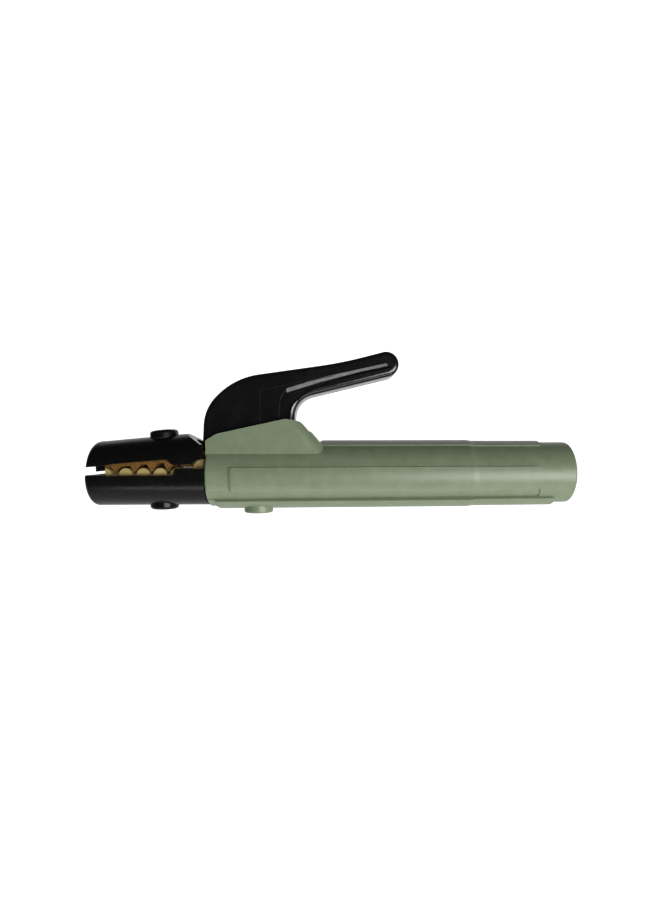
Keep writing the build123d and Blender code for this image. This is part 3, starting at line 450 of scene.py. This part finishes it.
# %% Hand out the finishes
finishes = {
    handle_green: ("handle_sleeve", "handle_screw_cap"),
    shell_black: ("lower_jaw_insulator", "upper_jaw_insulator",
                  "lower_insulator_head", "upper_insulator_head"),
    lever_black: ("lever_cover",),
    jaw_bright: ("jaw_body",),
    jaw_tarnished_and_shaded: ("upper_jaw",),
    zinc_plate: ("lower_insulator_stud", "upper_insulator_stud", "handle_screw", "hinge_pin",
                 "hinge_washers", "lever_pins", "lower_spring_cup", "upper_spring_cup",
                 "cable_set_screws"),
    oiled_spring: ("return_spring", "hinge_clips"),
    rolled_copper: ("cable_ferrule",),
}
finished = []
for finish, names in finishes.items():
    for name in names:
        piece = nodes[name]
        for slot in piece.material_slots:
            slot.material = finish
        finished.append(name)
print("finished pieces:", len(finished), "left out:", sorted(set(nodes) - set(finished)))

# %% [markdown]
# ## A white surround
#
# The holder is shown as in a parts catalogue: cut clear against white. A pale floor well
# below it sweeps up behind into a wall, so there is no horizon line. It is a light table: the
# sheet glows by itself, which keeps it white without a lamp overhead. A Light Path node makes
# the glow weaker where it falls on the holder, so the black mouldings stay black.
# The sheet is one strip of faces that follows a quarter circle; smooth shading hides its steps.

# %% Floor that sweeps up behind
floor_level = -0.16
floor_front = -0.10
sweep_radius = 0.35
wall_distance = 0.75
wall_top = 1.2
half_width = 1.3
sweep_steps = 16
profile = [(floor_front, floor_level), (wall_distance - sweep_radius, floor_level)]
for step in range(1, sweep_steps + 1):
    angle = math.radians(90.0 * step / sweep_steps)
    profile.append((wall_distance - sweep_radius + sweep_radius * math.sin(angle),
                    floor_level + sweep_radius * (1.0 - math.cos(angle))))
profile.append((wall_distance, wall_top))
corners = [(side * half_width, y, z) for y, z in profile for side in (-1, 1)]
strips = [(2 * i, 2 * i + 1, 2 * i + 3, 2 * i + 2) for i in range(len(profile) - 1)]
sweep_mesh = bpy.data.meshes.new("white_sweep")
sweep_mesh.from_pydata(corners, [], strips)
for face in sweep_mesh.polygons:
    face.use_smooth = True
white_sweep = bpy.data.objects.new("white_sweep", sweep_mesh)
bpy.context.scene.collection.objects.link(white_sweep)
paper_white, tree, shader = start_material("paper_white", Roughness=0.9)
place = add_node(tree, "ShaderNodeTexCoord").outputs["Object"]
fibre = add_node(tree, "ShaderNodeTexNoise", {"Vector": place, "Scale": 900.0, "Detail": 2.0})
tree.links.new(blend_colours(tree, fibre.outputs["Fac"], (0.8, 0.8, 0.8, 1.0), (0.84, 0.84, 0.84, 1.0)),
               shader.inputs["Base Color"])
shader.inputs["Emission Color"].default_value = (1.0, 1.0, 1.0, 1.0)
glow_on_holder = 0.5
seen_directly = add_node(tree, "ShaderNodeLightPath").outputs["Is Camera Ray"]
tree.links.new(remap(tree, seen_directly, 0.0, 1.0, glow_on_holder, 1.0),
               shader.inputs["Emission Strength"])
sweep_mesh.materials.append(paper_white)
print("sweep points:", len(profile))

# %% [markdown]
# ## Soft studio light
#
# The surfaces that face the viewer are the bright ones, the upper shoulders of the handle are
# darker, and its underside is lifted by the white sheet. So the main light is a large soft
# panel in front and to the right, a little below the handle. A weak narrow strip, low in
# front, lifts the handle a little and brightens the lever's channel and the lower shell. The
# air stays dim, and the sheet does the rest. Area lights are used because their size sets how
# soft each highlight is.


# %% Lights
def soft_panel(name, place, target, width, height, watts):
    """A rectangular light that faces its target."""
    data = bpy.data.lights.new(name, "AREA")
    data.shape = "RECTANGLE"
    data.size = width
    data.size_y = height
    data.energy = watts
    lamp = bpy.data.objects.new(name, data)
    lamp.location = place
    lamp.rotation_euler = (Vector(target) - Vector(place)).to_track_quat("-Z", "Y").to_euler()
    bpy.context.scene.collection.objects.link(lamp)


middle = (-0.015, 0.0, 0.005)
soft_panel("front_panel", (0.6, -0.92, -0.2), middle, 0.9, 0.5, 12.5)
soft_panel("low_strip", (0.05, -0.3, -0.42), (0.0, 0.0, 0.03), 0.8, 0.06, 0.9)
world = bpy.data.worlds.new("studio_air")
world.use_nodes = True
air = world.node_tree
background = air.nodes["Background"]
background.inputs["Color"].default_value = (1.0, 1.0, 1.0, 1.0)
seen_directly = add_node(air, "ShaderNodeLightPath").outputs["Is Camera Ray"]
air_on_holder = 0.04
air.links.new(remap(air, seen_directly, 0.0, 1.0, air_on_holder, 1.0),
              background.inputs["Strength"])
bpy.context.scene.world = world
bpy.context.scene.view_settings.view_transform = "Standard"

# %% [markdown]
# ## Camera
#
# The view is square on to the side of the holder from close by, a little above the handle's
# axis, and the whole view is rolled by a third of a degree. The sensor is fitted to the width
# of the view, so the lens sets the same width at any height.

# %% Camera square on to the side
camera_data = bpy.data.cameras.new("side_camera")
camera_data.sensor_fit = "HORIZONTAL"
camera_data.sensor_width = 36.0
camera_data.lens = 28.12
camera_data.clip_start = 0.01
side_camera = bpy.data.objects.new("side_camera", camera_data)
bpy.context.scene.collection.objects.link(side_camera)
view_from = Vector((-0.0153, -0.265, 0.0119))
roll = math.radians(-0.315)
side_camera.matrix_world = (Matrix.Translation(view_from) @ Matrix.Rotation(math.pi / 2, 4, "X")
                            @ Matrix.Rotation(roll, 4, "Z"))
bpy.context.scene.camera = side_camera
print("camera at", tuple(round(v, 4) for v in view_from))
